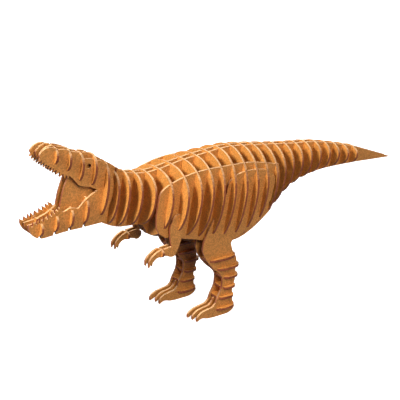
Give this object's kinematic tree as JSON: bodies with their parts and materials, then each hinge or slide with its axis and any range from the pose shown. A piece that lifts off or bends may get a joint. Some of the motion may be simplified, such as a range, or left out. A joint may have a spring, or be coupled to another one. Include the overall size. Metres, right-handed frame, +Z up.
{
  "type": "slotted dinosaur model",
  "caption": "Standing two-legged dinosaur built from flat slotted board slices, with open toothed jaws, small arms and a long tapering tail.",
  "frame": {"origin": "on the floor, in the middle of the model's length and width", "axes": "+X from the jaws towards the tail, +Y to the animal's right, +Z up; the head points to -X"},
  "size_m": [0.36, 0.0742, 0.163],
  "materials": {
    "slice_board": "matte bare fibreboard",
    "rib_board": "matte bare fibreboard"
  },
  "bodies": {
    "root": {"spine_left": "slice_board", "spine_right": "slice_board", "cheek_left": "slice_board", "cheek_right": "slice_board", "flank_left": "slice_board", "flank_right": "slice_board", "skull_rib_1": "rib_board", "skull_rib_2": "rib_board", "skull_rib_3": "rib_board", "skull_rib_4": "rib_board", "skull_rib_5": "rib_board", "jaw_rib_1": "rib_board", "jaw_rib_2": "rib_board", "jaw_rib_3": "rib_board", "jaw_rib_4": "rib_board", "neck_rib_1": "rib_board", "neck_rib_2": "rib_board", "neck_rib_3": "rib_board", "neck_rib_4": "rib_board", "body_rib_1": "rib_board", "body_rib_2": "rib_board", "body_rib_3": "rib_board", "body_rib_4": "rib_board", "body_rib_5": "rib_board", "body_rib_6": "rib_board", "body_rib_7": "rib_board", "body_rib_8": "rib_board", "body_rib_9": "rib_board", "body_rib_10": "rib_board", "body_rib_11": "rib_board", "body_rib_12": "rib_board", "body_rib_13": "rib_board", "body_rib_14": "rib_board", "body_rib_15": "rib_board", "body_rib_16": "rib_board", "body_rib_17": "rib_board", "body_rib_18": "rib_board", "body_rib_19": "rib_board", "left_leg_outer": "slice_board", "left_leg_inner": "slice_board", "right_leg_inner": "slice_board", "right_leg_outer": "slice_board", "foot_centres": "slice_board", "left_leg_shelf_1": "rib_board", "left_leg_shelf_2": "rib_board", "left_leg_shelf_3": "rib_board", "left_leg_shelf_4": "rib_board", "left_leg_shelf_5": "rib_board", "left_leg_shelf_6": "rib_board", "right_leg_shelf_1": "rib_board", "right_leg_shelf_2": "rib_board", "right_leg_shelf_3": "rib_board", "right_leg_shelf_4": "rib_board", "right_leg_shelf_5": "rib_board", "right_leg_shelf_6": "rib_board", "left_arm_outer": "slice_board", "left_arm_inner": "slice_board", "right_arm_inner": "slice_board", "right_arm_outer": "slice_board", "arm_ties": "rib_board"}
  },
  "joints": []
}
